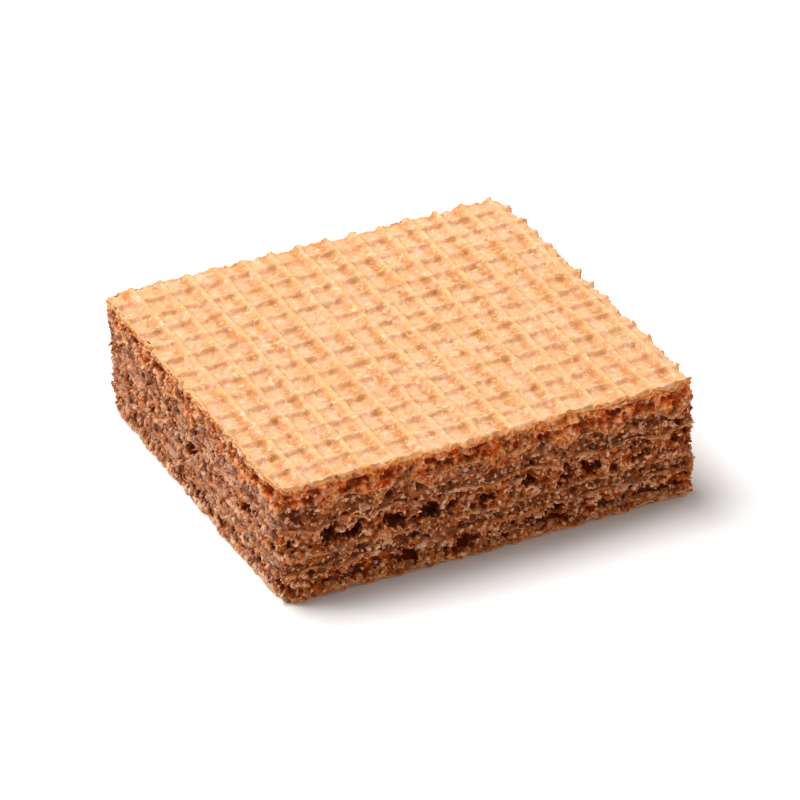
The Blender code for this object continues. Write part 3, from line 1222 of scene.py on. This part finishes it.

# %% [markdown]
# ## Ties to the imported model
#
# Each piece gets its finish. Then it says which layer it stands for, and that it moves with the one body.

# %% Finish, ride, replace
for piece, node, finish in (
    (top_crust, "top_sheet", crust_finish),
    (top_crumb, "top_sheet", red_crumb),
    (top_crumbs, "top_sheet", crumb_finish),
    (rim_crumbs, "top_sheet", crumb_finish),
    (upper_cream, "upper_cream", cream_finish),
    (middle_crumb, "middle_sheet", brown_crumb),
    (middle_crumbs, "middle_sheet", crumb_finish),
    (cream_crumbs, "upper_cream", crumb_finish),
    (lower_cream, "lower_cream", cream_finish),
    (bottom_crumb, "bottom_sheet", dark_crumb),
    (bottom_crumbs, "bottom_sheet", crumb_finish),
    (under_crust, "bottom_sheet", crust_finish),
):
    piece.data.materials.append(finish)
    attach(piece, "root")
    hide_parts(node)
    print(f"{piece.name} in {finish.name} stands for {node}")

# %% [markdown]
# ## Floor
#
# The photograph has a plain white table, here a wide grid with a very faint cloud in its white.


# %% White table
def white_table():
    finish = Finish("white_table", 0.6, 0.2)
    cloudy = finish.speckle(60 * MM, 2.0, 0.55)
    colour = finish.mix(cloudy, (0.80, 0.80, 0.80, 1.0), (0.84, 0.84, 0.84, 1.0))
    return finish.close(colour, finish.bump(0.5 * MM, 0.002 * MM, 2.0, 0.55))


FLOOR_SIZE = 3.0
bm = bmesh.new()
bmesh.ops.create_grid(bm, x_segments=12, y_segments=12, size=FLOOR_SIZE / 2)
floor = new_piece("table", bm)
floor.data.materials.append(white_table())

# %% [markdown]
# ## Light
#
# A big soft light above and behind the wafer leaves its front much darker than its top. Weak lamps in
# front and at both sides stand for what the table and the room throw back.

# %% Lamps and world
TARGET = Vector((0, 0, TOP_FACE / 2))
ROOM_LIGHT = 0.23


def soft_light(name, direction, distance, size, power, colour=(1, 1, 1)):
    """A square lamp in this direction from the wafer, facing it."""
    lamp = bpy.data.lights.new(name, "AREA")
    lamp.size = size
    lamp.energy = power
    lamp.color = colour
    holder = bpy.data.objects.new(name, lamp)
    away = Vector(direction).normalized()
    holder.location = TARGET + away * distance
    holder.rotation_euler = away.to_track_quat("Z", "Y").to_euler()
    bpy.context.scene.collection.objects.link(holder)
    print(f"{name}: {power} W at {distance} m")


soft_light("key", (-0.20, 0.36, 0.9), 0.8, 0.55, 9.35)
soft_light("front_fill", (0.45, -0.9, 0.35), 0.9, 0.6, 2.1, (1.0, 0.89, 0.78))
soft_light("left_fill", (-0.85, 0.45, 0.5), 0.9, 0.35, 2.6, (1.0, 0.98, 0.95))
soft_light("right_fill", (0.95, 0.35, 0.3), 0.9, 0.4, 1.8, (1.0, 0.95, 0.88))

world = bpy.data.worlds.new("studio")
world.use_nodes = True
world.node_tree.nodes["Background"].inputs["Color"].default_value = (1, 1, 1, 1)
world.node_tree.nodes["Background"].inputs["Strength"].default_value = ROOM_LIGHT
bpy.context.scene.world = world
bpy.context.scene.view_settings.view_transform = "Standard"

# %% [markdown]
# ## Camera
#
# A long lens stands where the photograph was taken from, as fitted to the corners of the wafers in it.

# %% Camera at the photograph's angle
VIEW_AZIMUTH = math.radians(-23.23)
VIEW_ELEVATION = math.radians(29.67)
VIEW_ROLL = math.radians(2.96)
VIEW_DISTANCE = 0.5545
VIEW_AIM = Vector((-0.4 * MM, -1.6 * MM, 6.6 * MM))
FOCAL = 249.0  # mm on a 36 mm wide sensor

camera = bpy.data.cameras.new("camera")
camera.lens = FOCAL
camera.sensor_width = 36.0
camera.clip_start = 0.01
holder = bpy.data.objects.new("camera", camera)
level = math.cos(VIEW_ELEVATION)
away = Vector((math.sin(VIEW_AZIMUTH) * level, -math.cos(VIEW_AZIMUTH) * level, math.sin(VIEW_ELEVATION)))
aim = away.to_track_quat("Z", "Y").to_matrix().to_4x4()
place = Matrix.Translation(VIEW_AIM + away * VIEW_DISTANCE)
holder.matrix_world = place @ aim @ Matrix.Rotation(-VIEW_ROLL, 4, "Z")
bpy.context.scene.collection.objects.link(holder)
bpy.context.scene.camera = holder
print("camera at", holder.matrix_world.translation)
